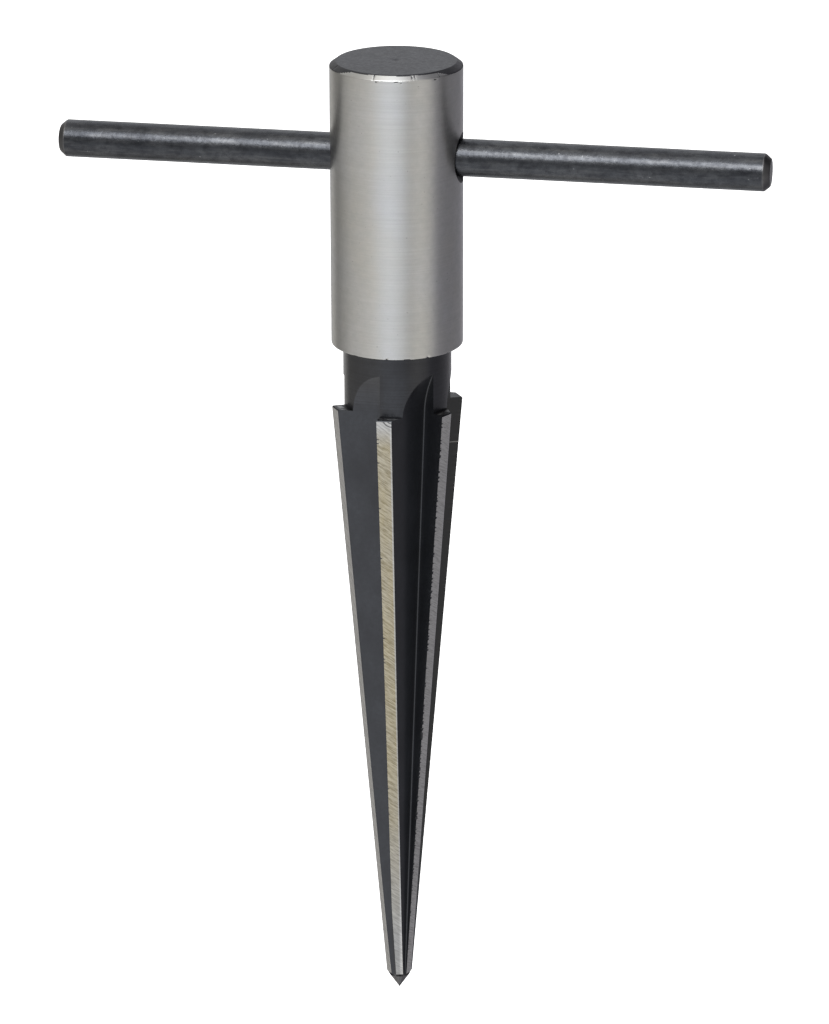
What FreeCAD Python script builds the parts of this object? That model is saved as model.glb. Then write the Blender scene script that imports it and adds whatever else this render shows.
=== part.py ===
import FreeCAD, Part
import math
import os

# A T-handle deburring reamer. Millimetres, +Z up.
# The origin is the sharp end of the cutting point, +Z runs up the tool's axis to the top of the hub,
# and the crossbar lies along X.

V = FreeCAD.Vector
ORIGIN = V(0, 0, 0)
X_AXIS = V(1, 0, 0)
Y_AXIS = V(0, 1, 0)
Z_AXIS = V(0, 0, 1)

# Driving dimensions: lengths up the axis from the point
TOTAL_LENGTH = 133.3
HUB_LENGTH = 38.4
SHANK_LENGTH = 30.0
LAND_TOP_Z = 86.4
BAR_AXIS_DEPTH = 12.7
POINT_ANGLE = 67.5

# Diameters
HUB_DIAMETER = 17.6
NECK_DIAMETER = 14.5
SHANK_DIAMETER = 12.0
CUTTER_LARGE_DIAMETER = 17.9
CUTTER_SMALL_DIAMETER = 3.5

# Crossbar
BAR_DIAMETER = 5.0
BAR_LENGTH = 95.2
BAR_OFFSET = 2.0
BAR_END_CHAMFER = 0.8
BAR_HOLE_CLEARANCE = 0.1

# Flutes: each is milled by a disc cutter whose flat side makes the cutting face and whose rim,
# two degrees off square, makes the broad back face. Depths are the root's distance from the axis.
LAND_COUNT = 6
FIRST_FACE_ANGLE = -5.0
CUTTING_FACE_OFFSET = 0.3
ROOT_DEPTH_AT_POINT = 1.33
ROOT_DEPTH_AT_LAND_TOP = 5.54
MILL_RIM_ANGLE = 88.0
MILL_RADIUS = 9.5

# Edges
HUB_TOP_CHAMFER_WIDTH = 0.85
HUB_TOP_CHAMFER_HEIGHT = 0.62
HUB_BOTTOM_CHAMFER = 0.15
HUB_HOLE_COUNTERSINK = 0.8
SHANK_END_CHAMFER = 0.5
DRILL_POINT_ANGLE = 118.0
CENTRE_MARK_DIAMETER = 1.1
CENTRE_MARK_DEPTH = 0.2
LAND_TOP_CHAMFER = 0.15

# Worked out from the above
HUB_BOTTOM_Z = TOTAL_LENGTH - HUB_LENGTH
BAR_AXIS_Z = TOTAL_LENGTH - BAR_AXIS_DEPTH
HUB_RADIUS = HUB_DIAMETER / 2
NECK_RADIUS = NECK_DIAMETER / 2
SHANK_RADIUS = SHANK_DIAMETER / 2
SHANK_TOP_Z = HUB_BOTTOM_Z + SHANK_LENGTH
DRILL_POINT_HEIGHT = SHANK_RADIUS / math.tan(math.radians(DRILL_POINT_ANGLE / 2))
LARGE_RADIUS = CUTTER_LARGE_DIAMETER / 2
SMALL_RADIUS = CUTTER_SMALL_DIAMETER / 2
BAR_RADIUS = BAR_DIAMETER / 2
BAR_HOLE_RADIUS = BAR_RADIUS + BAR_HOLE_CLEARANCE
POINT_HEIGHT = SMALL_RADIUS / math.tan(math.radians(POINT_ANGLE / 2))
TAPER = (LARGE_RADIUS - SMALL_RADIUS) / (LAND_TOP_Z - POINT_HEIGHT)


def revolved(points):
    """A solid of revolution about Z from a closed outline of (radius, height) points."""
    outline = Part.makePolygon([V(r, 0, z) for r, z in points + points[:1]])
    return Part.Face(outline).revolve(ORIGIN, Z_AXIS, 360)


def bar_hole(countersunk_at=None):
    """The hole that the crossbar slides in, with both mouths countersunk at that distance from the axis."""
    reach = HUB_DIAMETER
    hole = Part.makeCylinder(BAR_HOLE_RADIUS, 2 * reach, V(-reach, 0, BAR_AXIS_Z), X_AXIS)
    if countersunk_at is None:
        return hole
    mouth_radius = BAR_HOLE_RADIUS + HUB_HOLE_COUNTERSINK
    for side in (-1, 1):
        foot = V(side * (countersunk_at - HUB_HOLE_COUNTERSINK), 0, BAR_AXIS_Z)
        outward = V(side, 0, 0)
        mouth = Part.makeCone(BAR_HOLE_RADIUS, mouth_radius, HUB_HOLE_COUNTERSINK, foot, outward)
        hole = hole.fuse(mouth)
    return hole


def make_hub():
    """The ground steel barrel: drilled blind from below, pressed on the shank, centre mark on top."""
    barrel = revolved([
        (0, SHANK_TOP_Z + DRILL_POINT_HEIGHT),
        (SHANK_RADIUS, SHANK_TOP_Z),
        (SHANK_RADIUS, HUB_BOTTOM_Z),
        (HUB_RADIUS - HUB_BOTTOM_CHAMFER, HUB_BOTTOM_Z),
        (HUB_RADIUS, HUB_BOTTOM_Z + HUB_BOTTOM_CHAMFER),
        (HUB_RADIUS, TOTAL_LENGTH - HUB_TOP_CHAMFER_HEIGHT),
        (HUB_RADIUS - HUB_TOP_CHAMFER_WIDTH, TOTAL_LENGTH),
        (CENTRE_MARK_DIAMETER / 2, TOTAL_LENGTH),
        (0, TOTAL_LENGTH - CENTRE_MARK_DEPTH),
    ])
    return barrel.cut(bar_hole(countersunk_at=HUB_RADIUS))


def flute(face_angle):
    """What the disc cutter takes away in front of one cutting edge.

    The cutter runs straight up along the flute's root and is then lifted out, so that the flute ends
    in a curved run-out on the neck. Seen along the root, out is away from the axis along the cutting
    face, and across is square to that face, towards the land before it.
    """
    radial = V(math.sin(face_angle), -math.cos(face_angle), 0)
    across = V(-math.cos(face_angle), -math.sin(face_angle), 0)
    rise = math.atan((ROOT_DEPTH_AT_LAND_TOP - ROOT_DEPTH_AT_POINT) / LAND_TOP_Z)
    up = Z_AXIS * math.cos(rise) + radial * math.sin(rise)
    out = radial * math.cos(rise) - Z_AXIS * math.sin(rise)

    width = CUTTER_LARGE_DIAMETER / 2
    rim_slope = width / math.tan(math.radians(MILL_RIM_ANGLE))
    root = radial * ROOT_DEPTH_AT_LAND_TOP + across * CUTTING_FACE_OFFSET + Z_AXIS * LAND_TOP_Z
    arbor = root + out * MILL_RADIUS
    corners = [
        root,
        arbor,
        arbor + across * width,
        root + across * width + out * rim_slope,
    ]
    half_mill = Part.Face(Part.makePolygon(corners + corners[:1]))
    run = half_mill.extrude(up * -(LAND_TOP_Z + POINT_HEIGHT))
    lift = half_mill.revolve(arbor, across, 360)
    return run.fuse(lift)


def make_reamer():
    """Shank, neck, six-land tapered cutter and point, in one piece of tool steel."""
    blank = revolved([
        (0, 0),
        (SMALL_RADIUS, POINT_HEIGHT),
        (LARGE_RADIUS - TAPER * LAND_TOP_CHAMFER, LAND_TOP_Z - LAND_TOP_CHAMFER),
        (LARGE_RADIUS - LAND_TOP_CHAMFER, LAND_TOP_Z),
        (NECK_RADIUS, LAND_TOP_Z),
        (NECK_RADIUS, HUB_BOTTOM_Z),
        (SHANK_RADIUS, HUB_BOTTOM_Z),
        (SHANK_RADIUS, SHANK_TOP_Z - SHANK_END_CHAMFER),
        (SHANK_RADIUS - SHANK_END_CHAMFER, SHANK_TOP_Z),
        (0, SHANK_TOP_Z),
    ])
    for index in range(LAND_COUNT):
        face_angle = math.radians(FIRST_FACE_ANGLE + index * 360 / LAND_COUNT)
        blank = blank.cut(flute(face_angle))
    return blank.cut(bar_hole())


def make_tee_bar():
    """The crossbar: a plain round rod with chamfered ends, free to slide through the hub."""
    half = BAR_LENGTH / 2
    rod = revolved([
        (0, -half),
        (BAR_RADIUS - BAR_END_CHAMFER, -half),
        (BAR_RADIUS, -half + BAR_END_CHAMFER),
        (BAR_RADIUS, half - BAR_END_CHAMFER),
        (BAR_RADIUS - BAR_END_CHAMFER, half),
        (0, half),
    ])
    rod.rotate(ORIGIN, Y_AXIS, 90)
    rod.translate(V(BAR_OFFSET, 0, BAR_AXIS_Z))
    return rod


NODES = {
    "hub": make_hub,
    "reamer": make_reamer,
    "tee_bar": make_tee_bar,
}

os.makedirs("parts", exist_ok=True)
for node, make in NODES.items():
    shape = make()
    shape.exportStep("parts/" + node + ".step")
    box = shape.BoundBox
    print(node, len(shape.Solids), shape.isValid(), round(shape.Volume, 1))
    print("   ", [round(n, 2) for n in (box.XMin, box.YMin, box.ZMin, box.XMax, box.YMax, box.ZMax)])
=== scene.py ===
import math

import bmesh
import bpy
from mathutils import Matrix, Vector, noise


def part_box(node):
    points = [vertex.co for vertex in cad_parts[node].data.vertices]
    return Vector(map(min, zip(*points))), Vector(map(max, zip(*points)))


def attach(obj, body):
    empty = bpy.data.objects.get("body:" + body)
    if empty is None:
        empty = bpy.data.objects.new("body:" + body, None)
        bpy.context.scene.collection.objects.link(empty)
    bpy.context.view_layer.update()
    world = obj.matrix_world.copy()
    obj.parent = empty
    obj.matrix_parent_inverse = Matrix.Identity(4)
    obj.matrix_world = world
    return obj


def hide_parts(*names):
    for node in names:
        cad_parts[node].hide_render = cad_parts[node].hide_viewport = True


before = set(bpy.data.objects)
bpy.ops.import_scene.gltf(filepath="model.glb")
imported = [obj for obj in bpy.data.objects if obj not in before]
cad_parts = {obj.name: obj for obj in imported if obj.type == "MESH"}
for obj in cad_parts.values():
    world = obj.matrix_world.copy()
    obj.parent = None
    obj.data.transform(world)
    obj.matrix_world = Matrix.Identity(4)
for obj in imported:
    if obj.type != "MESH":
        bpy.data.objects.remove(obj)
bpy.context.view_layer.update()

# -------------------- sizes, in millimetres
MM = 0.001
hub_low, hub_high = [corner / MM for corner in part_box("hub")]
reamer_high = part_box("reamer")[1] / MM
bar_low, bar_high = [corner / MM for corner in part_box("tee_bar")]

HUB_RADIUS = hub_high.x
HUB_BOTTOM = hub_low.z
HUB_TOP = hub_high.z
HUB_TOP_RIM = 7.95
HUB_TOP_CHAMFER = 0.62
HUB_SHOULDER_EASE = 0.15
HUB_RIM_EASE = 0.14
HUB_FOOT_EASE = 0.12
HUB_BORE = 6.0
HUB_BORE_TOP = reamer_high.z
HUB_BORE_TIP = 3.0
CENTRE_MARK_RADIUS = 0.5
CENTRE_MARK_DEPTH = 0.08

BAR_RADIUS = (bar_high.y - bar_low.y) / 2
BAR_Z = (bar_high.z + bar_low.z) / 2
BAR_CHAMFER_LENGTH = 0.8
BAR_CHAMFER_DEPTH = 0.68
BAR_LIP_EASE = 0.35
BAR_SHOULDER_EASE = 0.4
BAR_DENTS = 0.006
HOLE_RADIUS = BAR_RADIUS + 0.1
HOLE_COUNTERSINK = 0.8

NECK_RADIUS = 7.25
LAND_TOP = 86.4
LARGE_RADIUS = 8.95
SMALL_RADIUS = 1.75
POINT_SLOPE = math.tan(math.radians(67.5 / 2))
POINT_HEIGHT = SMALL_RADIUS / POINT_SLOPE
TAPER = (LARGE_RADIUS - SMALL_RADIUS) / (LAND_TOP - POINT_HEIGHT)

TEETH = 6
FIRST_FACE = math.radians(-5.0)
PITCH = 2 * math.pi / TEETH
FACE_OFFSET = 0.3
ROOT_AT_POINT = 1.33
ROOT_AT_LAND_TOP = 5.54
RIM_SLOPE = 1 / math.tan(math.radians(88.0))
MILL_RADIUS = 9.5
MILL_RISE = math.atan((ROOT_AT_LAND_TOP - ROOT_AT_POINT) / LAND_TOP)
MILL_ARBOR_OUT = ROOT_AT_LAND_TOP + MILL_RADIUS * math.cos(MILL_RISE)
MILL_ARBOR_Z = LAND_TOP - MILL_RADIUS * math.sin(MILL_RISE)
ROOT_FILLET = 0.16
LAND_RELIEF = math.tan(math.radians(4))
HEEL_SHARE = 0.10
HEEL_RELIEF = math.tan(math.radians(15))
LAND_TOP_CHAMFERS = [0.12, 0.14, 0.12, 0.15, 0.2, 0.15]
RUN_OUT_STRETCH = [0.13, 0.12, 0.0, -0.04, 0.05, -0.18]


# -------------------- mesh building
class Skin:
    """The points and faces of one closed piece, in millimetres, with a finish for each face."""

    def __init__(self):
        self.points = []
        self.faces = []
        self.finishes = []

    def row(self, points):
        first = len(self.points)
        self.points.extend(points)
        return list(range(first, len(self.points)))

    def face(self, corners, finish=0):
        kept = [c for i, c in enumerate(corners) if c != corners[i - 1]]
        if len(kept) > 2:
            self.faces.append(kept)
            self.finishes.append(finish)

    def band(self, low, high, finish=0, closed=False):
        """Quads between two rows. A row of one point makes a fan."""
        count = max(len(low), len(high))
        for i in range(count if closed else count - 1):
            j = (i + 1) % count
            a, b = low[i % len(low)], low[j % len(low)]
            c, d = high[j % len(high)], high[i % len(high)]
            self.face((a, b, c, d), finish)

    def piece(self, name, body, replaced, finishes, sharp=24):
        mesh = bpy.data.meshes.new(name)
        bm = bmesh.new()
        verts = [bm.verts.new(Vector(p) * MM) for p in self.points]
        for corners, finish in zip(self.faces, self.finishes):
            made = bm.faces.new([verts[c] for c in corners])
            made.material_index = finish
            made.smooth = True
        bmesh.ops.recalc_face_normals(bm, faces=bm.faces)
        bm.to_mesh(mesh)
        bm.free()
        for finish in finishes:
            mesh.materials.append(finish)
        mesh.set_sharp_from_angle(angle=math.radians(sharp))
        made = bpy.data.objects.new(name, mesh)
        bpy.context.scene.collection.objects.link(made)
        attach(made, body)
        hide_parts(replaced)
        return made


def polar(radius, azimuth, z):
    """A point at that azimuth, counted from -Y towards +X."""
    return (radius * math.sin(azimuth), -radius * math.cos(azimuth), z)


def blend(a, b, share):
    return a + (b - a) * share


def steps(start, end, count):
    """count + 1 even values from start to end."""
    return [blend(start, end, i / count) for i in range(count + 1)]


def solve(low, high, excess):
    """Where excess() turns from negative to positive between low and high."""
    for _ in range(50):
        middle = (low + high) / 2
        if excess(middle) > 0:
            high = middle
        else:
            low = middle
    return (low + high) / 2


def rounded(corner, before, after, radius, count=4):
    """A corner of a 2-D outline rounded off, as count + 1 points."""
    corner, before, after = Vector(corner), Vector(before), Vector(after)
    to_before = (before - corner).normalized()
    to_after = (after - corner).normalized()
    half = to_before.angle(to_after) / 2
    reach = radius / math.tan(half)
    centre = corner + (to_before + to_after).normalized() * (radius / math.sin(half))
    start = corner + to_before * reach - centre
    end = corner + to_after * reach - centre
    turn = start.angle_signed(end)
    return [tuple(centre + Matrix.Rotation(-turn * i / count, 2) @ start)
            for i in range(count + 1)]


# -------------------- walls that the crossbar goes through
# The window round a hole is a block of grid cells that is laid out in rings instead. Each one is
# given as (columns, rows, half its height).
HUB_WINDOW = (120, 24, 4.6)
SHANK_WINDOW = (24, 12, 4.0)
RING_SHARES = (0.3, 0.55, 0.75, 0.9, 1.0)


def window_heights(window):
    return steps(BAR_Z - window[2], BAR_Z + window[2], window[1])


def window_ring(window):
    """The edge of a window as (column, row), counter-clockwise from its lower left corner."""
    columns, rows, _ = window
    ring = [(c, 0) for c in range(columns)]
    ring += [(columns, r) for r in range(rows)]
    ring += [(c, rows) for c in range(columns, 0, -1)]
    ring += [(0, r) for r in range(rows, 0, -1)]
    return ring


def window_angles(window):
    """The direction in which each point of the window's edge lies from the hole's centre."""
    columns, rows, _ = window
    return [math.atan2(2 * r / rows - 1, 2 * c / columns - 1) for c, r in window_ring(window)]


def wall(skin, radius, heights, count, start, window, first_row, hole_radius, finish, inward=False):
    """A round wall with a hole on the +X side and one on the -X side.

    Each hole's window starts at heights[first_row]. Returns the rows of points, and for each hole
    the loop of points at its edge.
    """
    columns, rows, _ = window
    grid = [skin.row([polar(radius, start + 2 * math.pi * c / count, z) for c in range(count)])
            for z in heights]
    ring = window_ring(window)
    loops = []
    blocked = set()
    for side in (math.pi / 2, 3 * math.pi / 2):
        first = round((side - start) / (2 * math.pi) * count) - columns // 2
        blocked |= {((first + c) % count, first_row + r)
                    for c in range(columns) for r in range(rows)}
        places = [(start + 2 * math.pi * (first + c) / count - side, heights[first_row + r])
                  for c, r in ring]
        hole = []
        for angle in window_angles(window):
            edge = hole_radius(angle)
            turn = math.asin(edge * math.cos(angle) / radius)
            hole.append((turn, BAR_Z + edge * math.sin(angle)))
        outer = [grid[first_row + r][(first + c) % count] for c, r in ring]
        for share in RING_SHARES:
            inner = skin.row([
                polar(radius, side + blend(p[0], h[0], share), blend(p[1], h[1], share))
                for p, h in zip(places, hole)
            ])
            low, high = (inner, outer) if inward else (outer, inner)
            skin.band(low, high, finish, closed=True)
            outer = inner
        loops.append(outer)
    for r in range(len(heights) - 1):
        for c in range(count):
            if (c, r) not in blocked:
                d = (c + 1) % count
                skin.face((grid[r][c], grid[r][d], grid[r + 1][d], grid[r + 1][c]), finish)
    return grid, loops


def hole_ring(skin, side, depth, window):
    """One ring of the crossbar's hole, at that distance from the tool's axis."""
    return skin.row([
        (side * depth, side * HOLE_RADIUS * math.cos(angle), BAR_Z + HOLE_RADIUS * math.sin(angle))
        for angle in window_angles(window)
    ])


def plain_edge(angle):
    """The radius of a hole that isn't countersunk, the same at every angle."""
    return HOLE_RADIUS


def countersunk_edge(angle):
    """The countersink's radius where it meets the hub's round side."""
    radius = HOLE_RADIUS
    for _ in range(30):
        depth = math.sqrt(HUB_RADIUS ** 2 - (radius * math.cos(angle)) ** 2)
        radius = HOLE_RADIUS + max(0.0, depth - (HUB_RADIUS - HOLE_COUNTERSINK))
    return radius


# -------------------- hub
GROUND, BLACKENED = 0, 1
HUB_COLUMNS = 720
TOP_NICKS = [
    # azimuth in degrees, distance from the hub's end, half-width, half-height, depth
    (-8.8, 0.22, 0.11, 0.38, 0.05), (25.4, 0.30, 0.10, 0.25, 0.04), (28.2, 0.28, 0.10, 0.22, 0.04),
    (51.8, 0.35, 0.10, 0.30, 0.04), (-6.0, 0.80, 0.26, 0.10, 0.03), (11.4, 0.78, 0.30, 0.10, 0.03),
    (15.5, 0.92, 0.14, 0.10, 0.03), (46.3, 0.80, 0.30, 0.10, 0.03), (-34, 0.05, 0.80, 0.12, 0.04),
    (-60, 0.20, 0.20, 0.20, 0.04), (33, 0.02, 0.60, 0.12, 0.04), (58, 0.05, 0.90, 0.15, 0.04),
    (96, 0.40, 0.12, 0.35, 0.05), (128, 0.15, 0.50, 0.15, 0.05), (171, 0.30, 0.10, 0.35, 0.05),
    (205, 0.40, 0.15, 0.30, 0.05), (262, 0.20, 0.35, 0.15, 0.04), (300, 0.30, 0.10, 0.40, 0.05),
]
BOTTOM_NICKS = [
    (2.1, 0, 0.14, 0.22, 0.16), (38.8, 0, 0.20, 0.18, 0.12), (20, 0.05, 0.50, 0.10, 0.04),
    (61, 0, 0.30, 0.12, 0.07), (-28, 0, 0.40, 0.10, 0.05), (104, 0, 0.20, 0.20, 0.11),
    (150, 0, 0.25, 0.20, 0.12), (231, 0, 0.30, 0.18, 0.10), (284, 0, 0.16, 0.20, 0.12),
]
NICKS = [(azimuth, HUB_TOP - gap, *sizes) for azimuth, gap, *sizes in TOP_NICKS]
NICKS += [(azimuth, HUB_BOTTOM + gap, *sizes) for azimuth, gap, *sizes in BOTTOM_NICKS]
TOP_NICK_REACH, BOTTOM_NICK_REACH = 2.2, 1.0
NICK_INWARD_REACH = 1.3
NICK_SHADE_NEARNESS = 0.32


def nick_at(point):
    """How far a nick knocks the hub in at that point, and how near the nick's bottom that is."""
    radius = math.hypot(point[0], point[1])
    low, high = HUB_BOTTOM + BOTTOM_NICK_REACH, HUB_TOP - TOP_NICK_REACH
    if radius < HUB_RADIUS - NICK_INWARD_REACH or low < point[2] < high:
        return 0.0, 0.0
    azimuth = math.atan2(point[0], -point[1])
    push, nearness = 0.0, 0.0
    for degrees, height, half_width, half_height, depth in NICKS:
        turn = (azimuth - math.radians(degrees) + math.pi) % (2 * math.pi) - math.pi
        gap = (turn * HUB_RADIUS / half_width) ** 2 + ((point[2] - height) / half_height) ** 2
        if gap < 9:
            push += depth * math.exp(-gap)
            nearness = max(nearness, math.exp(-gap))
    return push, nearness


def knock(skin):
    """Pushes in the nicks of the hub's edges, and gives their bottoms the black finish as painted
    shade.
    """
    nicks = [nick_at(p) for p in skin.points]
    for i, (push, nearness) in enumerate(nicks):
        if push > 0:
            x, y, z = skin.points[i]
            share = 1 - push / math.hypot(x, y)
            skin.points[i] = (x * share, y * share, z)
    # Painted shade: faces near a nick's bottom get the black finish
    for i, corners in enumerate(skin.faces):
        if min(nicks[c][1] for c in corners) > NICK_SHADE_NEARNESS:
            skin.finishes[i] = BLACKENED


def hub_top():
    """The outline of the hub's top, from its side in to the centre mark, and the chamfer's rows."""
    shoulder = (HUB_RADIUS, HUB_TOP - HUB_TOP_CHAMFER)
    rim = (HUB_TOP_RIM, HUB_TOP)
    corner_low = rounded(shoulder, (HUB_RADIUS, HUB_BOTTOM), rim, HUB_SHOULDER_EASE)
    corner_high = rounded(rim, shoulder, (0, HUB_TOP), HUB_RIM_EASE)
    chamfer = [tuple(blend(a, b, share) for a, b in zip(corner_low[-1], corner_high[0]))
               for share in (0.15, 0.3, 0.45, 0.6, 0.75, 0.85)]
    face = [HUB_TOP_RIM - 0.5, HUB_TOP_RIM - 1.2, HUB_TOP_RIM * 0.7, HUB_TOP_RIM * 0.45]
    face += [HUB_TOP_RIM * 0.2, CENTRE_MARK_RADIUS + 0.12]
    outline = corner_low + chamfer + corner_high + [(radius, HUB_TOP) for radius in face]
    outline.append((CENTRE_MARK_RADIUS, HUB_TOP - 0.02))
    outline.append((CENTRE_MARK_RADIUS * 0.5, HUB_TOP - CENTRE_MARK_DEPTH))
    return outline, len(corner_low) + len(chamfer)


def last_row_before_oxide_and_shade(azimuth, chamfer_rows):
    """The chamfer's last bare row at that azimuth: black oxide covers it unevenly, and painted
    shade carries the black further down at the sides, where the chamfer turns away from the light
    in front.
    """
    worn = noise.noise(Vector((math.sin(azimuth) * 3, math.cos(azimuth) * 3, 0.5)))
    side = abs(0.96 * math.sin(azimuth - math.radians(11)) + 0.03)
    share = min(1.0, max(0.0, (side - 0.62) / 0.26))
    oxide_and_shade = worn + 1.2 * side + 8.0 * share ** 2 * (3 - 2 * share)
    return chamfer_rows - 1 - max(0, round(oxide_and_shade))


def make_hub(finishes):
    skin = Skin()

    def ring(radius, z):
        return skin.row([polar(radius, 2 * math.pi * c / HUB_COLUMNS, z)
                         for c in range(HUB_COLUMNS)])

    # The round side
    opening = window_heights(HUB_WINDOW)
    side_top = HUB_TOP - HUB_TOP_CHAMFER - 0.12
    below = [HUB_BOTTOM + 0.2, HUB_BOTTOM + 0.3, HUB_BOTTOM + 0.4]
    below += steps(HUB_BOTTOM + 0.5, opening[0], 20)
    above = steps(opening[-1], side_top - 0.7, 6) + steps(side_top - 0.7, side_top, 9)[1:]
    side, mouths = wall(skin, HUB_RADIUS, below + opening[1:-1] + above, HUB_COLUMNS, 0.0,
                        HUB_WINDOW, len(below) - 1, countersunk_edge, GROUND)

    # The top: chamfer with its edges eased, the blackened face, and the centre mark
    before = side[-1]
    outline, chamfer_rows = hub_top()
    for index, (radius, z) in enumerate(outline):
        row = ring(radius, z)
        if index == 0:
            skin.band(before, row, GROUND, closed=True)
        else:
            for c in range(HUB_COLUMNS):
                d = (c + 1) % HUB_COLUMNS
                # The black on the chamfer is partly oxide and partly painted shade at the sides
                bare = index <= last_row_before_oxide_and_shade(2 * math.pi * c / HUB_COLUMNS, chamfer_rows)
                skin.face((before[c], before[d], row[d], row[c]), GROUND if bare else BLACKENED)
        before = row
    mark = skin.row([(0, 0, HUB_TOP - CENTRE_MARK_DEPTH * 1.2)])
    skin.band(before, mark, BLACKENED, closed=True)

    # The bottom face and the blind bore for the shank
    before = side[0]
    foot = (HUB_RADIUS, HUB_BOTTOM)
    bottom = rounded(foot, (HUB_RADIUS, HUB_BOTTOM + 3), (0, HUB_BOTTOM), HUB_FOOT_EASE)
    bottom += [(HUB_RADIUS - 0.4, HUB_BOTTOM), (NECK_RADIUS, HUB_BOTTOM)]
    for radius, z in bottom:
        row = ring(radius, z)
        skin.band(row, before, GROUND, closed=True)
        before = row
    bore_heights = [HUB_BOTTOM] + opening[:-1] + [HUB_BORE_TOP]
    bore, inner = wall(skin, HUB_BORE, bore_heights, HUB_COLUMNS, 0.0,
                       HUB_WINDOW, 1, plain_edge, GROUND, inward=True)
    skin.band(bore[0], before, GROUND, closed=True)
    bore_tip = skin.row([(0, 0, HUB_BORE_TOP + HUB_BORE_TIP)])
    skin.band(bore_tip, bore[-1], GROUND, closed=True)

    # The countersunk mouths and the hole on to the bore, in the black finish: black oxide, with
    # painted shade inside the hole
    for side_sign, mouth, end in zip((1, -1), mouths, inner):
        foot = hole_ring(skin, side_sign, HUB_RADIUS - HOLE_COUNTERSINK, HUB_WINDOW)
        skin.band(mouth, foot, BLACKENED, closed=True)
        skin.band(foot, end, BLACKENED, closed=True)

    knock(skin)
    return skin.piece("hub_barrel", "reamer_body", "hub", finishes)


# -------------------- reamer
LAND, HEEL, POINT, OXIDE, LEDGE = 0, 1, 2, 3, 4
FLUTE_RUNS = ("heel", "back", "face", "lip")
LAND_SHARES = [0.0, 0.12, 0.5, 0.82, 1 - HEEL_SHARE, 1 - HEEL_SHARE / 2, 1.0]
HEEL_COLUMNS = 2
BACK_COLUMNS = 5
FILLET_COLUMNS = 4
FACE_COLUMNS = 2
LIP_COLUMNS = 3
NECK_COLUMNS = 24
POINT_ROWS = (0.03, 0.1, 0.25, 0.5, 0.8, 1.1, 1.4, 1.7, 2.0)
LAND_ROW_STEP = 0.135
RUN_OUT_ROWS = 44
NECK_ROWS = 12
SHANK_GAP = 0.01
BURRS = [0.01, 0.03, 0.02, 0.02, 0.01, 0.02]
CHIPS = [0.05, 0.20, 0.12, 0.20, 0.08, 0.10]
CHIP_DARK = 0.025
TIP_WEAR = [0.40, 0.0, 0.0, 0.0, 0.0, 0.0]
TIP_WEAR_TO = 13.0


def blank_radius(z, tooth=0):
    if z < POINT_HEIGHT:
        return z * POINT_SLOPE
    chamfer = LAND_TOP_CHAMFERS[tooth % TEETH]
    return SMALL_RADIUS + TAPER * (z - POINT_HEIGHT) - max(0.0, z - LAND_TOP + chamfer)


def flute_floor(across, z):
    """How far out along the cutting face the mill has left metal, that far across the flute."""
    rim = RIM_SLOPE * (across - FACE_OFFSET)
    if z <= LAND_TOP:
        return blend(ROOT_AT_POINT, ROOT_AT_LAND_TOP, z / LAND_TOP) + rim
    reach = (MILL_RADIUS - rim) ** 2 - (z - MILL_ARBOR_Z) ** 2
    return MILL_ARBOR_OUT - math.sqrt(max(reach, 0.0))


def heel_across(radius, z):
    """How far across the flute its floor comes out at a round surface of that radius."""
    return solve(FACE_OFFSET, radius, lambda v: flute_floor(v, z) ** 2 + v ** 2 - radius ** 2)


def face_reach(radius):
    return math.sqrt(radius ** 2 - FACE_OFFSET ** 2)


FLUTE_LOW = solve(1.5, POINT_HEIGHT,
                  lambda z: face_reach(blank_radius(z)) - flute_floor(FACE_OFFSET, z))
FLUTE_HIGH = solve(LAND_TOP, HUB_BOTTOM,
                   lambda z: flute_floor(FACE_OFFSET, z) - face_reach(NECK_RADIUS))


def flute_section(z, heel_radius, edge_radius, kept=(0.0, 0.0)):
    """One flute at height z, as (out, across) points from a land's heel to the next land's edge.

    Returns four runs: heel strip, broad back face with the root fillet, cutting face and lip. kept
    says how much of the back face and of the cutting face belongs to the second and third run.
    """
    heel = heel_across(heel_radius, z)
    edge = face_reach(edge_radius)
    depth = edge - flute_floor(FACE_OFFSET, z)
    fillet = min(ROOT_FILLET, 0.3 * depth, 0.3 * (heel - FACE_OFFSET))
    fillet_across = FACE_OFFSET + fillet
    fillet_out = flute_floor(fillet_across, z) + fillet
    kept_across = blend(fillet_across, heel, kept[0])
    kept_out = blend(fillet_out, edge, kept[1])
    heel_run = [(flute_floor(v, z), v) for v in steps(heel, kept_across, HEEL_COLUMNS)]
    back_run = [(flute_floor(v, z), v) for v in steps(kept_across, fillet_across, BACK_COLUMNS)]
    for turn in steps(0, math.pi / 2, FILLET_COLUMNS)[1:]:
        back_run.append((fillet_out - fillet * math.cos(turn),
                         fillet_across - fillet * math.sin(turn)))
    face_run = [(e, FACE_OFFSET) for e in steps(fillet_out, kept_out, FACE_COLUMNS)]
    lip_run = [(e, FACE_OFFSET) for e in steps(kept_out, edge, LIP_COLUMNS)]
    return heel_run, back_run, face_run, lip_run


def kept_shares(tooth):
    """The shares of the back face and cutting face after that tooth that run on into the neck."""
    radius = blank_radius(LAND_TOP, tooth)
    heel = heel_across(radius - land_drop(radius, LAND_TOP), LAND_TOP)
    edge = face_reach(blank_radius(LAND_TOP, tooth + 1))
    fillet_across = FACE_OFFSET + ROOT_FILLET
    fillet_out = flute_floor(fillet_across, LAND_TOP) + ROOT_FILLET
    back = (heel_across(NECK_RADIUS, LAND_TOP) - fillet_across) / (heel - fillet_across)
    face = (face_reach(NECK_RADIUS) - fillet_out) / (edge - fillet_out)
    return back, face


def point_fade(z):
    """0 where the flutes start on the point, 1 from the point's upper end on."""
    return min(1.0, max(0.0, (z - FLUTE_LOW) / (POINT_HEIGHT - FLUTE_LOW)))


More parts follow.
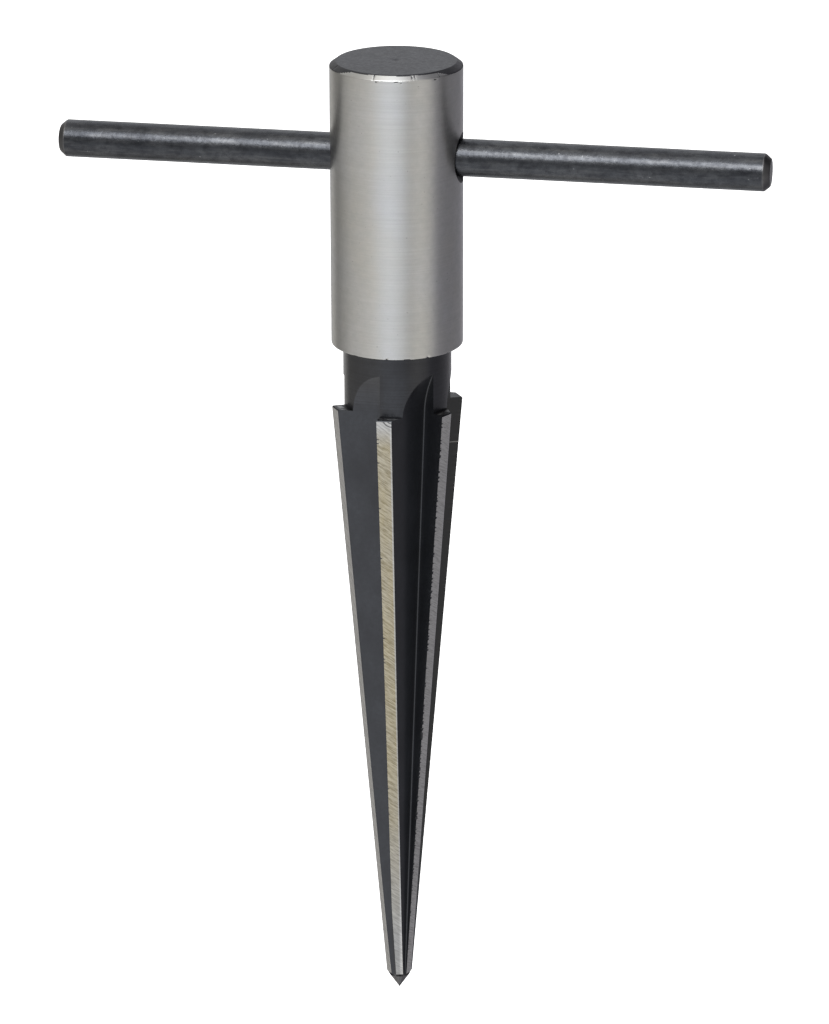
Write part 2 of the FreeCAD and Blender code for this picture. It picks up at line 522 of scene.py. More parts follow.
def land_drop(radius, z):
    """How much lower the heel of a land is than its cutting edge."""
    heel = heel_across(radius, z)
    width = radius * (PITCH - math.asin(heel / radius) + math.asin(FACE_OFFSET / radius))
    return point_fade(z) * width * (LAND_RELIEF + HEEL_SHARE * (HEEL_RELIEF - LAND_RELIEF))


KEPT = [kept_shares(tooth) for tooth in range(TEETH)]


def in_flute(out, across, tooth, z):
    """A point of the flute in front of that tooth's cutting face."""
    face = FIRST_FACE + tooth * PITCH
    x = out * math.sin(face) - across * math.cos(face)
    y = -out * math.cos(face) - across * math.sin(face)
    return (x, y, z)


def edge_wear(tooth, z):
    """How far the cutting edge stands out as a burr, or lies back as a chip, at that height."""
    coarse = noise.noise(Vector((tooth * 7.3, 0.0, z * 0.7)))
    fine = noise.noise(Vector((tooth * 3.1, 5.0, z * 3.6)))
    chip = max(0.0, fine + 0.5 * coarse - 0.02)
    return min(1.0, z / 25) * (BURRS[tooth] * coarse - CHIPS[tooth] * chip)


def tip_wear(tooth, z):
    """How far the cutting edge is worn back near the point."""
    return TIP_WEAR[tooth] * max(0.0, 1 - z / TIP_WEAR_TO) * point_fade(z)


def land_points(tooth, z, radius):
    """The land of a tooth from cutting edge to heel: two flats, the second one the eased heel."""
    drop = land_drop(radius, z)
    heel = heel_across(radius - drop, z)
    edge = Vector(in_flute(face_reach(radius), FACE_OFFSET, tooth, z))
    edge += Vector(in_flute(0, 1, tooth, 0)) * (edge_wear(tooth, z) - tip_wear(tooth, z))
    end = Vector(in_flute(flute_floor(heel, z), heel, tooth + 1, z))
    width = (end - edge).length
    middle = edge.lerp(end, 1 - HEEL_SHARE)
    eased = HEEL_RELIEF - LAND_RELIEF
    fade = drop / (width * (LAND_RELIEF + HEEL_SHARE * eased) + 1e-9)
    outward = Vector((middle.x, middle.y, 0)).normalized()
    middle += outward * eased * HEEL_SHARE * (1 - HEEL_SHARE) * width * fade
    points = []
    for share in LAND_SHARES:
        if share <= 1 - HEEL_SHARE:
            points.append(edge.lerp(middle, share / (1 - HEEL_SHARE)))
        else:
            points.append(middle.lerp(end, (share - 1 + HEEL_SHARE) / HEEL_SHARE))
    return [tuple(p) for p in points]


def arc_points(start, end, radius, z, count):
    return [polar(radius, a, z) for a in steps(start, end, count)]


def cut_row(skin, z):
    """One row of points round the lands and flutes, as the indices of each tooth's runs."""
    radii = [blank_radius(z, tooth) for tooth in range(TEETH)]
    teeth = [{"land": skin.row(land_points(tooth, z, radii[tooth]))} for tooth in range(TEETH)]
    for tooth in range(TEETH):
        following = (tooth + 1) % TEETH
        heel_radius = radii[tooth] - land_drop(radii[tooth], z)
        section = flute_section(z, heel_radius, radii[following], KEPT[tooth])
        heel, back, face, lip = [
            [in_flute(out, across, tooth + 1, z) for out, across in run] for run in section
        ]
        heel_ids = [teeth[tooth]["land"][-1]] + skin.row(heel[1:])
        back_ids = [heel_ids[-1]] + skin.row(back[1:])
        face_ids = [back_ids[-1]] + skin.row(face[1:])
        lip_ids = [face_ids[-1]] + skin.row(lip[1:-1]) + [teeth[following]["land"][0]]
        teeth[tooth].update(heel=heel_ids, back=back_ids, face=face_ids, lip=lip_ids)
    return teeth


def neck_row(skin, z, kept=None):
    """One row round the neck where the flutes run out. kept is the row of land tops to reuse."""
    sections = flute_section(z, NECK_RADIUS, NECK_RADIUS, (1.0, 1.0))
    edge_turn = math.asin(FACE_OFFSET / NECK_RADIUS)
    heel_turn = math.asin(sections[0][0][1] / NECK_RADIUS)
    teeth = []
    for tooth in range(TEETH):
        face = FIRST_FACE + tooth * PITCH
        arc = arc_points(face - edge_turn, face + PITCH - heel_turn, NECK_RADIUS, z, NECK_COLUMNS)
        if kept:
            inside = skin.row(arc[1:-1])
            land = [kept[tooth - 1]["face"][-1]] + inside + [kept[tooth]["back"][0]]
        else:
            land = skin.row(arc)
        teeth.append({"land": land})
    for tooth in range(TEETH):
        following = (tooth + 1) % TEETH
        if kept:
            teeth[tooth].update(back=kept[tooth]["back"], face=kept[tooth]["face"])
            continue
        back, face = [
            [in_flute(out, across, tooth + 1, z) for out, across in run] for run in sections[1:3]
        ]
        back_ids = [teeth[tooth]["land"][-1]] + skin.row(back[1:])
        face_ids = [back_ids[-1]] + skin.row(face[1:-1]) + [teeth[following]["land"][0]]
        teeth[tooth].update(back=back_ids, face=face_ids)
    return teeth


def round_row(skin, z, radius, columns):
    """One whole ring with no flutes, in the same columns as the lands or the neck."""
    turn = math.asin(min(1.0, FACE_OFFSET / radius)) if radius > FACE_OFFSET else 0.0
    start = FIRST_FACE - turn
    total = columns * TEETH
    return skin.row([polar(radius, start + 2 * math.pi * i / total, z) for i in range(total)])


def join_rows(skin, low, high, runs):
    for tooth in range(TEETH):
        for run in runs:
            skin.band(low[tooth][run], high[tooth][run], OXIDE)


def join_lands(skin, low, high, z):
    """The lands between two rows: the flat and its eased heel, with dark chips along the edge."""
    for tooth in range(TEETH):
        below, above = low[tooth]["land"], high[tooth]["land"]
        blunt = z > LAND_TOP - LAND_TOP_CHAMFERS[tooth]
        chipped = -edge_wear(tooth, z) > CHIP_DARK
        for i in range(len(LAND_SHARES) - 1):
            finish = HEEL if LAND_SHARES[i] >= 1 - HEEL_SHARE else LAND
            if z <= POINT_HEIGHT:
                finish = POINT
            elif blunt or (chipped and i == 0):
                finish = OXIDE
            skin.face((below[i], below[i + 1], above[i + 1], above[i]), finish)


def close_flutes(skin, ring, columns, row, runs, finish, row_above):
    """Joins a whole ring to the first or last row of the flutes, which start there from nothing."""
    for tooth in range(TEETH):
        part = [ring[(tooth * columns + i) % len(ring)] for i in range(columns + 1)]
        corner = [part[-1]]
        for run, line in [("land", part)] + [(run, corner) for run in runs]:
            low, high = (line, row[tooth][run]) if row_above else (row[tooth][run], line)
            skin.band(low, high, finish if run == "land" else OXIDE)


def run_out_stretch(azimuth):
    """How much further up the neck the flute there runs out than the plain mill path says."""
    turn = ((azimuth - FIRST_FACE) / PITCH) % TEETH
    tooth = int(turn)
    flute_span = math.asin(heel_across(NECK_RADIUS, LAND_TOP) / NECK_RADIUS)
    share = min(1.0, (turn - tooth) / (1 - flute_span / PITCH))
    return blend(RUN_OUT_STRETCH[tooth], RUN_OUT_STRETCH[(tooth + 1) % TEETH], share)


def stretch_run_outs(skin):
    """Makes the run-outs a little uneven, as flutes milled one by one are."""
    for i, (x, y, z) in enumerate(skin.points):
        if LAND_TOP < z < HUB_BOTTOM:
            rise = z - LAND_TOP
            share = min(rise / (FLUTE_HIGH - LAND_TOP),
                        (HUB_BOTTOM - z) / (HUB_BOTTOM - FLUTE_HIGH))
            skin.points[i] = (x, y, z + rise * share * run_out_stretch(math.atan2(x, -y)))


def point_and_lands(skin):
    """The point, the lands and the flutes, up to the tops of the lands. Returns their last row."""
    land_columns = len(LAND_SHARES) - 1
    before = skin.row([(0, 0, 0)])
    for z in POINT_ROWS + (FLUTE_LOW,):
        ring = round_row(skin, z, blank_radius(z), land_columns)
        skin.band(before, ring, POINT, closed=True)
        before = ring

    blunt_from = LAND_TOP - max(LAND_TOP_CHAMFERS)
    heights = [FLUTE_LOW + 0.03, FLUTE_LOW + 0.12, FLUTE_LOW + 0.25]
    heights += [POINT_HEIGHT - 0.05]
    heights += steps(POINT_HEIGHT, blunt_from, int((blunt_from - POINT_HEIGHT) / LAND_ROW_STEP))
    heights += sorted({LAND_TOP - chamfer for chamfer in LAND_TOP_CHAMFERS} - {blunt_from})
    heights += [LAND_TOP]
    row = cut_row(skin, heights[0])
    close_flutes(skin, before, land_columns, row, FLUTE_RUNS, POINT, True)
    for z in heights[1:]:
        above = cut_row(skin, z)
        join_rows(skin, row, above, FLUTE_RUNS)
        join_lands(skin, row, above, z)
        row = above
    return row


def run_outs_and_neck(skin, land_tops):
    """The flat tops of the lands, the run-outs and the plain neck. Returns the neck's last row."""
    row = neck_row(skin, LAND_TOP, kept=land_tops)
    for tooth in range(TEETH):
        ledge = land_tops[tooth - 1]["lip"] + land_tops[tooth]["land"][1:]
        ledge += land_tops[tooth]["heel"][1:] + row[tooth]["land"][-2:0:-1]
        skin.face(ledge, LEDGE)
    for z in steps(LAND_TOP, FLUTE_HIGH - 0.02, RUN_OUT_ROWS)[1:]:
        above = neck_row(skin, z)
        join_rows(skin, row, above, ("land", "back", "face"))
        row = above
    before = round_row(skin, FLUTE_HIGH, NECK_RADIUS, NECK_COLUMNS)
    close_flutes(skin, before, NECK_COLUMNS, row, ("back", "face"), OXIDE, False)
    for z in steps(FLUTE_HIGH, HUB_BOTTOM, NECK_ROWS)[1:]:
        ring = round_row(skin, z, NECK_RADIUS, NECK_COLUMNS)
        skin.band(before, ring, OXIDE, closed=True)
        before = ring
    return before


def make_reamer(finishes):
    skin = Skin()
    before = run_outs_and_neck(skin, point_and_lands(skin))

    # The shoulder, the shank inside the hub, and the hole right through it
    start = FIRST_FACE - math.asin(FACE_OFFSET / NECK_RADIUS)
    shank_heights = [HUB_BOTTOM] + window_heights(SHANK_WINDOW) + [HUB_BORE_TOP]
    shank, (near, far) = wall(skin, HUB_BORE - SHANK_GAP, shank_heights, NECK_COLUMNS * TEETH,
                              start, SHANK_WINDOW, 1, plain_edge, OXIDE)
    skin.band(before, shank[0], OXIDE, closed=True)
    skin.band(shank[-1], skin.row([(0, 0, HUB_BORE_TOP)]), OXIDE, closed=True)
    mirrored = [far[(SHANK_WINDOW[0] - i) % len(far)] for i in range(len(far))]
    skin.band(near, mirrored, OXIDE, closed=True)
    stretch_run_outs(skin)
    return skin.piece("reamer_cutter", "reamer_body", "reamer", finishes)


# -------------------- crossbar
PLAIN, WORN_AND_LIT = 0, 1
BAR_COLUMNS = 128
BAR_ROWS = 96


def bar_end(x_end, inward):
    """From the centre of an end face out to the plain bar, as (x, radius)."""
    lip = (x_end, BAR_RADIUS - BAR_CHAMFER_DEPTH)
    shoulder = (x_end + inward * BAR_CHAMFER_LENGTH, BAR_RADIUS)
    points = [(x_end, lip[1] * 0.35), (x_end, lip[1] * 0.7)]
    points += rounded(lip, (x_end, 0), shoulder, BAR_LIP_EASE, 6)
    points += rounded(shoulder, lip, (x_end + inward * 5, BAR_RADIUS), BAR_SHOULDER_EASE, 6)
    return points


def make_bar(finishes):
    skin = Skin()
    left = bar_end(bar_low.x, 1)
    right = bar_end(bar_high.x, -1)
    plain = [(x, BAR_RADIUS) for x in steps(left[-1][0], right[-1][0], BAR_ROWS)[1:-1]]
    outline = left + plain + right[::-1]
    before = skin.row([(bar_low.x, 0, BAR_Z)])
    for index, (x, radius) in enumerate(outline):
        points = []
        for turn in steps(0, 2 * math.pi, BAR_COLUMNS)[:-1]:
            wave = noise.noise(Vector((x * 0.35, math.cos(turn) * 1.6, math.sin(turn) * 1.6)))
            r = radius + min(0.0, BAR_DENTS * wave - BAR_DENTS / 3)
            points.append((x, -r * math.cos(turn), BAR_Z + r * math.sin(turn)))
        row = skin.row(points)
        from_end = min(index, len(outline) - index)
        # The end chamfers get a lighter finish, partly rubbed wear and partly painted light
        skin.band(before, row, WORN_AND_LIT if 2 < from_end < len(left) else PLAIN, closed=True)
        before = row
    skin.band(before, skin.row([(bar_high.x, 0, BAR_Z)]), PLAIN, closed=True)
    return skin.piece("tee_bar_rod", "crossbar", "tee_bar", finishes)


# -------------------- shader nodes
class Tree:
    """A node tree, with short calls for its nodes. place is the coordinate they start from."""

    def __init__(self, tree, place):
        self.tree = tree
        self.place = self.make("TexCoord").outputs[place]

    def make(self, kind, **settings):
        node = self.tree.nodes.new("ShaderNode" + kind)
        for name, value in settings.items():
            setattr(node, name, value)
        return node

    def feed(self, socket, value):
        if isinstance(value, bpy.types.NodeSocket):
            self.tree.links.new(value, socket)
        else:
            socket.default_value = value

    def fed(self, kind, inputs, **settings):
        """A new node with those inputs fed or set."""
        node = self.make(kind, **settings)
        for name, value in inputs.items():
            self.feed(node.inputs[name], value)
        return node

    def math(self, operation, a, b=0.0, clamp=False):
        inputs = {0: a, 1: b}
        return self.fed("Math", inputs, operation=operation, use_clamp=clamp).outputs[0]

    def times(self, a, b):
        return self.math("MULTIPLY", a, b)

    def plus(self, a, b):
        return self.math("ADD", a, b)

    def distance(self, a, b):
        return self.math("SQRT", self.plus(self.times(a, a), self.times(b, b)))

    def scaled(self, scale, turn=(0, 0, 0)):
        """The place, stretched to the scale's units per metre and then turned."""
        inputs = {"Vector": self.place, "Scale": scale, "Rotation": turn}
        return self.fed("Mapping", inputs).outputs[0]

    def turned(self, turn):
        return self.scaled((1, 1, 1), (0, 0, turn))

    def split(self, vector):
        """The x, y and z of a vector, and its azimuth from -Y towards +X."""
        x, y, z = self.fed("SeparateXYZ", {0: vector}).outputs
        return x, y, z, self.math("ARCTAN2", x, self.times(y, -1.0))

    def ranged(self, value, low, high, to_low=0.0, to_high=1.0, **settings):
        inputs = {"Value": value, "From Min": low, "From Max": high,
                  "To Min": to_low, "To Max": to_high}
        return self.fed("MapRange", inputs, **settings).outputs["Result"]


class Nodes(Tree):
    """A material on a Principled shader, with short calls for the nodes that feed it."""

    def __init__(self, name, **sockets):
        self.material = bpy.data.materials.new(name)
        self.material.use_nodes = True
        super().__init__(self.material.node_tree, "Object")
        self.shader = self.tree.nodes["Principled BSDF"]
        for socket, value in sockets.items():
            self.shader.inputs[socket.replace("_", " ")].default_value = value

    def joined(self, x, y, z):
        return self.fed("CombineXYZ", {0: x, 1: y, 2: z}).outputs[0]

    def noise(self, vector, detail=2.0, roughness=0.5):
        inputs = {"Vector": vector, "Scale": 1.0, "Detail": detail, "Roughness": roughness}
        return self.fed("TexNoise", inputs).outputs["Fac"]

    def near(self, value, middle, half_width, soft):
        """1 within half_width of the middle, fading to 0 over the soft edge."""
        gap = self.math("ABSOLUTE", self.math("SUBTRACT", value, middle))
        return self.ranged(gap, half_width, half_width + soft, 1.0, 0.0)

    def mixed(self, share, first, second):
        inputs = {"Factor": share, "A": first, "B": second}
        return self.fed("Mix", inputs, data_type="RGBA").outputs["Result"]

    def bump(self, height, depth_mm, under=None):
        inputs = {"Distance": depth_mm * MM, "Height": height}
        if under is not None:
            inputs["Normal"] = under
        return self.fed("Bump", inputs).outputs["Normal"]

    def around(self):
        """The azimuth with its seam between two lands, the distance from the axis, the height."""
        x, y, z, azimuth = self.split(self.turned(math.radians(-30)))
        return azimuth, self.distance(x, y), z

    def finish(self, color, roughness, normal):
        for name, value in (("Base Color", color), ("Roughness", roughness), ("Normal", normal)):
            self.feed(self.shader.inputs[name], value)
        return self.material


# -------------------- materials
# Places on the reamer: azimuths as Nodes.around() counts them, heights and lengths in metres
# The first pair of azimuths is the cutting face that gets painted shade
SHADED_FACE = (1.36, 1.40)
LEDGE_RING_END = (0.9, 1.2)
FRONT_LAND_START = (-0.85, -0.70)
FRONT_LAND_END = (-0.35, -0.2)
LEDGE_HEIGHTS = (0.0862, 0.0868)
LEDGE_RING_RADIUS = 0.0080
FACE_SCRATCH_HEIGHT = 0.0801
STRAW_START = (0.008, 0.034)
STRAW_END = (0.0825, 0.0855)
ARC_ALONG, ARC_HEIGHT = -0.00357, 0.0869
ARC_RADII = (0.00132, 0.00085)
GRINDING_SLANT = math.radians(33)


def grey(value):
    return (value, value, value, 1)


def ground_steel():
    """The hub's side: ground round and round, with fine rings, a cloudy sheen and a few specks."""
    n = Nodes("ground_steel", Metallic=1.0, Anisotropic=0.7, Anisotropic_Rotation=0.25)
    tangent = n.make("Tangent", direction_type="RADIAL", axis="Z")
    n.feed(n.shader.inputs["Tangent"], tangent.outputs[0])
    rings = n.noise(n.scaled((90, 90, 6500)), detail=4.0, roughness=0.65)
    wide_rings = n.noise(n.scaled((30, 30, 1300)), detail=2.0)
    clouds = n.noise(n.scaled((170, 170, 110)), detail=4.0, roughness=0.55)
    dapple = n.noise(n.scaled((1000, 1000, 1300)), detail=3.0, roughness=0.65)
    specks = n.ranged(n.noise(n.scaled((2600, 2600, 2600)), detail=1.0), 0.76, 0.80)
    warm, cool = (0.655, 0.650, 0.625, 1), (0.655, 0.662, 0.675, 1)
    base = n.mixed(n.ranged(clouds, 0.32, 0.68), warm, cool)
    base = n.mixed(n.ranged(dapple, 0.35, 0.65, 0.0, 0.35), base, (0.52, 0.55, 0.535, 1))
    base = n.mixed(n.ranged(rings, 0.3, 0.7, 0.30, 0.0), base, (0.46, 0.455, 0.45, 1))
    base = n.mixed(n.times(specks, 0.5), base, grey(0.25))
    roughness = n.plus(n.ranged(rings, 0.3, 0.7, 0.32, 0.39),
                       n.ranged(dapple, 0.3, 0.7, -0.03, 0.03))
    normal = n.bump(rings, 0.006)
    normal = n.bump(wide_rings, 0.008, normal)
    normal = n.bump(dapple, 0.010, normal)
    return n.finish(base, roughness, normal)


def black_oxide(name, dark, light, rough, grain_mm, mottle_mm, coat=0.0, details=None):
    """Blackened steel: mottled, with a fine grain, and with an oil film where coat says so."""
    n = Nodes(name, Metallic=1.0, Coat_Weight=coat, Coat_Roughness=0.22)
    clouds = n.noise(n.scaled((260, 260, 160)), detail=4.0, roughness=0.55)
    grain = n.noise(n.scaled((8000, 8000, 8000)), detail=2.0, roughness=0.6)
    mottle = n.noise(n.scaled((1900, 1900, 1700)), detail=3.0, roughness=0.65)
    base = n.mixed(n.ranged(clouds, 0.32, 0.68), dark, light)
    base = n.mixed(n.ranged(mottle, 0.35, 0.7, 0.0, 0.4), base, dark)
    if details:
        base = details(n, base)
    roughness = n.plus(n.ranged(mottle, 0.3, 0.7, rough - 0.05, rough + 0.06),
                       n.ranged(grain, 0.3, 0.7, -0.04, 0.04))
    normal = n.bump(grain, grain_mm)
    normal = n.bump(mottle, mottle_mm, normal)
    return n.finish(base, roughness, normal)


def milled_and_turned(n, base):
    """Turning rings on the neck, and painted shade and a scratch on one cutting face."""
    azimuth, _, height = n.around()
    # Painted shade: one cutting face is darkened below the lands' tops, where shade falls between
    # the teeth
    face = n.ranged(azimuth, *SHADED_FACE)
    painted_shade = n.times(face, n.ranged(height, *LEDGE_HEIGHTS, 0.75, 0.0))
    base = n.mixed(painted_shade, base, (0.006, 0.006, 0.008, 1))
    scratch = n.times(face, n.near(height, FACE_SCRATCH_HEIGHT, 0.00003, 0.00007))
    base = n.mixed(scratch, base, grey(0.20))
    rings = n.noise(n.scaled((60, 60, 4200)), detail=3.0, roughness=0.7)
    on_neck = n.ranged(height, *LEDGE_HEIGHTS)
    shown = n.times(n.ranged(rings, 0.35, 0.65, 0.30, 0.0), on_neck)
    return n.mixed(shown, base, (0.012, 0.012, 0.014, 1))


def bare_and_highlit_ring(n, base):
    """A bare ring half way out on the lands' tops, broken where the black still covers it; its
    light grey is also a painted highlight on the ledges where it shows.
    """
    azimuth, radius, _ = n.around()
    patches = n.noise(n.scaled((700, 700, 700)), detail=3.0, roughness=0.6)
    ring = n.near(radius, LEDGE_RING_RADIUS, 0.0002, 0.0002)
    ring = n.times(ring, n.ranged(azimuth, *LEDGE_RING_END, 1.0, 0.0))
    # Bare steel, and a painted highlight on the ledge
    return n.mixed(n.times(ring, n.ranged(patches, 0.42, 0.60)), base, grey(0.36))


def rubbed_bar(n, base):
    """Streaks along the bar, dark blotches, and small flecks rubbed bare."""
    streaks = n.noise(n.scaled((240, 2300, 2300)), detail=3.0, roughness=0.6)
    blotches = n.noise(n.scaled((850, 1300, 1300)), detail=4.0, roughness=0.65)
    flecks = n.ranged(n.noise(n.scaled((2100, 2900, 2900)), detail=1.0), 0.77, 0.81)
    base = n.mixed(n.ranged(streaks, 0.45, 0.70, 0.0, 0.55), base, (0.122, 0.124, 0.128, 1))
    base = n.mixed(n.ranged(blotches, 0.45, 0.68, 0.0, 0.60), base, (0.030, 0.031, 0.036, 1))
    return n.mixed(n.times(flecks, 0.6), base, (0.46, 0.46, 0.47, 1))


def grinding_marks(n, along, height, azimuth):
    """Fine marks at a slant across a land."""
    across, up = math.sin(GRINDING_SLANT), math.cos(GRINDING_SLANT)
    cross = n.plus(n.times(along, across), n.times(height, up))
    down = n.math("SUBTRACT", n.times(along, up), n.times(height, across))
    place = n.joined(n.times(cross, 8500.0), n.times(down, 650.0), azimuth)
    return n.noise(place, detail=2.0, roughness=0.7)


def land_steel(name, dark, light, rough, straw):
    """Ground land. The front one has a straw heat tint, and two curved scratches at its top."""
    n = Nodes(name, Metallic=1.0)
    azimuth, radius, height = n.around()
    along = n.times(azimuth, radius)
    marks = grinding_marks(n, along, height, azimuth)
    clouds = n.noise(n.scaled((500, 500, 160)), detail=4.0, roughness=0.6)
    base = n.mixed(n.ranged(marks, 0.36, 0.6), dark, light)
    base = n.mixed(n.ranged(clouds, 0.35, 0.7, 0.0, 0.35), base, light)

    # The front land is darker towards the point, and straw-coloured between its two ends
    front = n.times(n.ranged(azimuth, *FRONT_LAND_START),
                    n.ranged(azimuth, *FRONT_LAND_END, 1.0, 0.0))
    length = n.times(n.ranged(height, *STRAW_START), n.ranged(height, *STRAW_END, 1.0, 0.0))
    tinted = n.times(n.times(front, length), n.ranged(clouds, 0.3, 0.7, 0.75, 1.1))
    tint = n.mixed(n.ranged(marks, 0.36, 0.6), (0.30, 0.25, 0.14, 1), (0.56, 0.50, 0.35, 1))
    darker_to_point = n.times(front, n.ranged(height, 0.0, 0.086, 0.34, 0.09))
    base = n.mixed(darker_to_point, base, grey(0.0))
    base = n.mixed(n.math("MULTIPLY", tinted, straw, clamp=True), base, tint)

    # The curved scratches are arcs round one point
    aside = n.math("SUBTRACT", along, ARC_ALONG)
    above = n.math("SUBTRACT", height, ARC_HEIGHT)
    reach = n.distance(aside, above)
    for arc_radius in ARC_RADII:
        arc = n.near(reach, arc_radius, 0.00004, 0.00006)
        base = n.mixed(n.times(arc, 0.8), base, (0.06, 0.06, 0.07, 1))
    roughness = n.ranged(marks, 0.3, 0.7, rough + 0.06, rough - 0.06)
    return n.finish(base, roughness, n.bump(marks, 0.012))


def point_steel():
    """The ground point: darker, with faint marks running up the cone."""
    n = Nodes("ground_point", Metallic=1.0)
    azimuth, _, height = n.around()
    place = n.joined(n.times(azimuth, 9.0), n.times(height, 400.0), 0.0)
    rays = n.noise(place, detail=3.0)
    base = n.mixed(n.ranged(rays, 0.35, 0.65), (0.085, 0.085, 0.089, 1), (0.195, 0.195, 0.20, 1))
    return n.finish(base, n.ranged(rays, 0.3, 0.7, 0.32, 0.45), n.bump(rays, 0.012))


hub_finishes = [
    ground_steel(),
    black_oxide("hub_face_oxide", dark=(0.063, 0.065, 0.070, 1), light=(0.080, 0.082, 0.089, 1),
                rough=0.44, grain_mm=0.0010, mottle_mm=0.002),
]
reamer_finishes = [
    land_steel("ground_land", (0.44, 0.44, 0.435, 1), (0.70, 0.70, 0.69, 1), rough=0.46, straw=0.9),
    # The eased heel's lighter colour is partly a painted highlight along the land's trailing edge
    land_steel("ground_heel_highlit", grey(0.60), grey(0.80), rough=0.38, straw=0.25),
    point_steel(),
    black_oxide("tool_oxide", dark=(0.028, 0.030, 0.037, 1), light=(0.046, 0.050, 0.060, 1),
                rough=0.40, grain_mm=0.0012, mottle_mm=0.004, coat=0.9, details=milled_and_turned),
    black_oxide("ledge_oxide", dark=(0.030, 0.030, 0.034, 1), light=(0.070, 0.070, 0.075, 1),
                rough=0.40, grain_mm=0.0020, mottle_mm=0.006, details=bare_and_highlit_ring),
]
bar_finishes = [
    black_oxide("bar_oxide", dark=(0.051, 0.054, 0.061, 1), light=(0.088, 0.092, 0.100, 1),
                rough=0.29, grain_mm=0.0025, mottle_mm=0.024, details=rubbed_bar),
    # Lighter oxide for the end chamfers: partly rubbed wear, partly painted light
    black_oxide("bar_end_oxide_lit", dark=(0.10, 0.10, 0.105, 1), light=(0.20, 0.20, 0.205, 1),
                rough=0.38, grain_mm=0.0030, mottle_mm=0.020),
]
make_hub(hub_finishes)
make_reamer(reamer_finishes)
make_bar(bar_finishes)


# -------------------- camera
# In millimetres, except the turn round the tool and the roll in radians and the lens
CAMERA_TURN = math.radians(11.46)
CAMERA_OUT = 595.4
CAMERA_HEIGHT = 281.4
AIM_HEIGHT = 70.59
AIM_RIGHT = 2.25
CAMERA_ROLL = -0.0023
LENS = 164.15


def make_camera():
    out = Vector(polar(1, CAMERA_TURN, 0))
    right = Vector((math.cos(CAMERA_TURN), math.sin(CAMERA_TURN), 0))
    place = out * CAMERA_OUT + Vector((0, 0, CAMERA_HEIGHT))
    aim = right * AIM_RIGHT + Vector((0, 0, AIM_HEIGHT))
    data = bpy.data.cameras.new("camera")
    data.lens = LENS
    data.clip_start, data.clip_end = 0.05, 50
    camera = bpy.data.objects.new("camera", data)
    bpy.context.scene.collection.objects.link(camera)
    camera.location = place * MM
    turn = (aim - place).to_track_quat("-Z", "Y").to_matrix()
    camera.rotation_euler = (turn @ Matrix.Rotation(CAMERA_ROLL, 3, "Z")).to_euler()
    bpy.context.scene.camera = camera


# -------------------- stage and light
# In metres and watts
FLOOR_DROP = 0.35
STAGE_SIZE = 6.0
SOFTBOX_SIZE = (0.5, 0.3)
SOFTBOX_POWER = 2.4
SOFTBOX_REACH = 0.6
SOFTBOX_TURN = CAMERA_TURN - math.radians(14)
SOFTBOX_RISE = math.radians(44)


def stage_material():
    material = bpy.data.materials.new("pale_stage")
    material.use_nodes = True
    shader = material.node_tree.nodes["Principled BSDF"]
    shader.inputs["Base Color"].default_value = grey(0.9)
    shader.inputs["Emission Color"].default_value = grey(1)
    shader.inputs["Emission Strength"].default_value = 1.0
    return material


def make_stage():
    """A pale floor and a pale dome over it, seen by the camera only."""
    material = stage_material()
    for name in ("floor", "backdrop"):
        mesh = bpy.data.meshes.new(name)
        bm = bmesh.new()
        if name == "floor":
            bmesh.ops.create_circle(bm, cap_ends=True, segments=64, radius=STAGE_SIZE)
        else:
            bmesh.ops.create_uvsphere(bm, u_segments=48, v_segments=24, radius=STAGE_SIZE)
        bm.to_mesh(mesh)
        bm.free()
        mesh.materials.append(material)
        made = bpy.data.objects.new(name, mesh)
        bpy.context.scene.collection.objects.link(made)
        made.location.z = -FLOOR_DROP if name == "floor" else 0
        made.visible_diffuse = made.visible_glossy = made.visible_shadow = False
        made.visible_transmission = made.visible_volume_scatter = False


SIDE_LIGHT = [
    # azimuth from the camera in degrees, brightness of the studio seen that way
    (-180, 0.55), (-150, 0.56), (-125, 0.26), (-105, 0.45), (-83, 0.63), (-57, 0.71),
    (-32, 0.79), (-12, 0.88), (4, 0.75), (22, 0.56), (42, 0.77), (60, 0.63), (78, 0.27),
    (105, 0.245), (140, 0.26), (165, 0.45), (180, 0.55),
]
HEIGHT_LIGHT = [
    # elevation in degrees, factor
    (-90, 1.45), (-45, 1.2), (-18, 1.0), (0, 0.55), (14, 0.5), (28, 0.8), (50, 1.2), (75, 1.75),
    (90, 2.6),
]
PANELS = [
    # azimuth from the camera, elevation, half-width and soft edge in degrees, brightness
    (180, 28, 16, 22, 0.47), (115, 50, 12, 24, -0.22),
]
WARM, COOL, VIOLET = (1.03, 1.0, 0.955, 1), (0.985, 1.0, 1.03, 1), (1.0, 0.975, 1.045, 1)
TINTS = [
    # azimuth from the camera in degrees, tint of the studio seen that way
    (-180, COOL), (-140, WARM), (-45, WARM), (-25, COOL), (10, COOL), (28, WARM), (58, WARM),
    (74, VIOLET), (150, VIOLET), (180, COOL),
]


def angle_ramp(n, angle, stops, half_range):
    """The colour at an angle from -half_range to half_range, from stops in degrees."""
    ramp = n.fed("ValToRGB", {"Fac": n.ranged(angle, -half_range, half_range)})
    ramp.color_ramp.interpolation = "EASE"
    elements = ramp.color_ramp.elements
    while len(elements) < len(stops):
        elements.new(0.5)
    for element, (degrees, color) in zip(elements, stops):
        element.position = (math.radians(degrees) + half_range) / (2 * half_range)
        element.color = color
    return ramp.outputs["Color"]


def brightness_ramp(n, angle, stops, half_range):
    """The brightness at an angle, from stops in degrees."""
    highest = max(brightness for degrees, brightness in stops)
    greys = [(degrees, grey(brightness / highest)) for degrees, brightness in stops]
    return n.times(angle_ramp(n, angle, greys, half_range), highest)


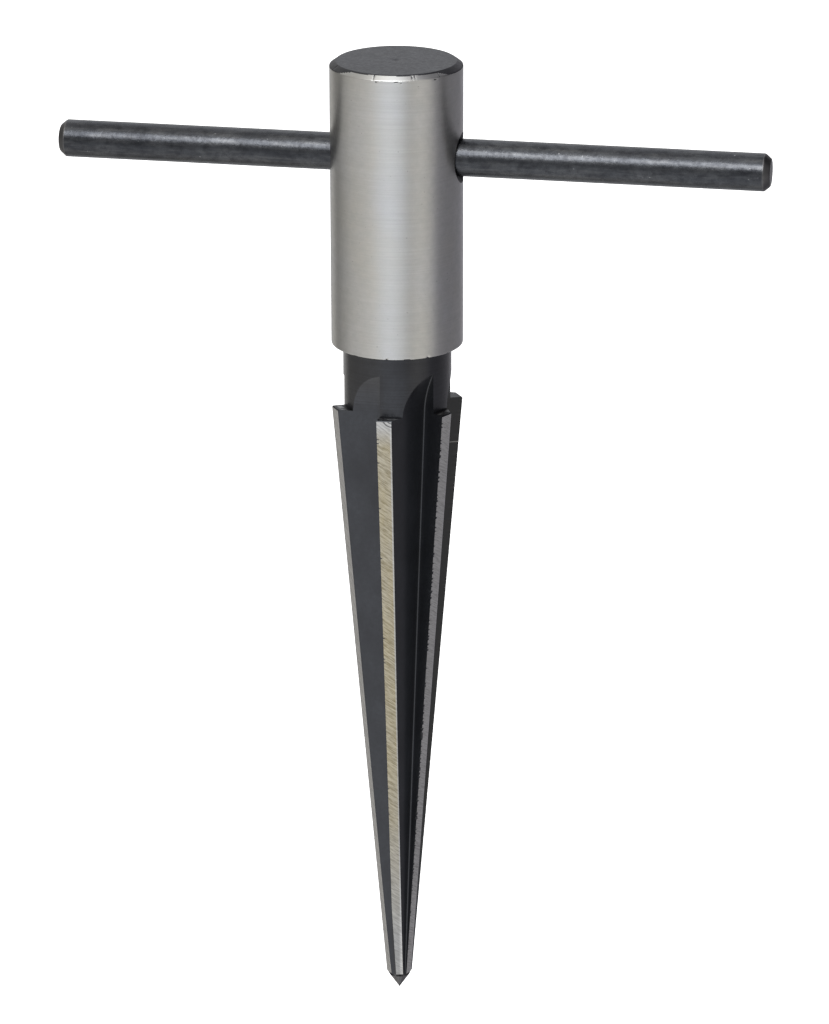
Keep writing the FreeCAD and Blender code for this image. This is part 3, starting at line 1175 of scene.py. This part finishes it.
def panel_light(n, direction, azimuth, elevation, half_width, soft, brightness):
    """What one round panel, or a dark flag, adds to the light from that direction."""
    rise = math.radians(elevation)
    centre = polar(math.cos(rise), math.radians(azimuth), math.sin(rise))
    near = n.fed("VectorMath", {0: direction, 1: centre}, operation="DOT_PRODUCT")
    outside = math.cos(math.radians(half_width + soft))
    inside = math.cos(math.radians(half_width))
    return n.ranged(near.outputs["Value"], outside, inside, 0.0, brightness,
                    interpolation_type="SMOOTHSTEP")


def make_studio():
    """Soft light from all round, brighter in front, with a panel behind and a dark flag."""
    world = bpy.data.worlds.new("studio")
    bpy.context.scene.world = world
    world.use_nodes = True
    n = Tree(world.node_tree, "Generated")
    direction = n.turned(-CAMERA_TURN)
    _, _, z, azimuth = n.split(direction)
    across = brightness_ramp(n, azimuth, SIDE_LIGHT, math.pi)
    up = brightness_ramp(n, n.math("ARCSINE", z), HEIGHT_LIGHT, math.pi / 2)
    total = n.times(across, up)
    for panel in PANELS:
        total = n.plus(total, panel_light(n, direction, *panel))
    tint = angle_ramp(n, azimuth, TINTS, math.pi)
    inputs = {0: tint, "Scale": n.math("MAXIMUM", total, 0.0)}
    tinted = n.fed("VectorMath", inputs, operation="SCALE")
    n.feed(n.tree.nodes["Background"].inputs["Color"], tinted.outputs[0])


def make_softbox():
    """One large soft light in front, above and a little to the left."""
    data = bpy.data.lights.new("softbox", "AREA")
    data.shape = "RECTANGLE"
    data.size, data.size_y = SOFTBOX_SIZE
    data.energy = SOFTBOX_POWER
    lamp = bpy.data.objects.new("softbox", data)
    bpy.context.scene.collection.objects.link(lamp)
    aim = Vector((0, 0, BAR_Z * MM))
    toward = Vector(polar(math.cos(SOFTBOX_RISE), SOFTBOX_TURN, math.sin(SOFTBOX_RISE)))
    lamp.location = aim + toward * SOFTBOX_REACH
    lamp.rotation_euler = (aim - lamp.location).to_track_quat("-Z", "Y").to_euler()
    lamp.visible_camera = False


make_camera()
make_stage()
make_studio()
make_softbox()
bpy.context.scene.view_settings.view_transform = "Standard"
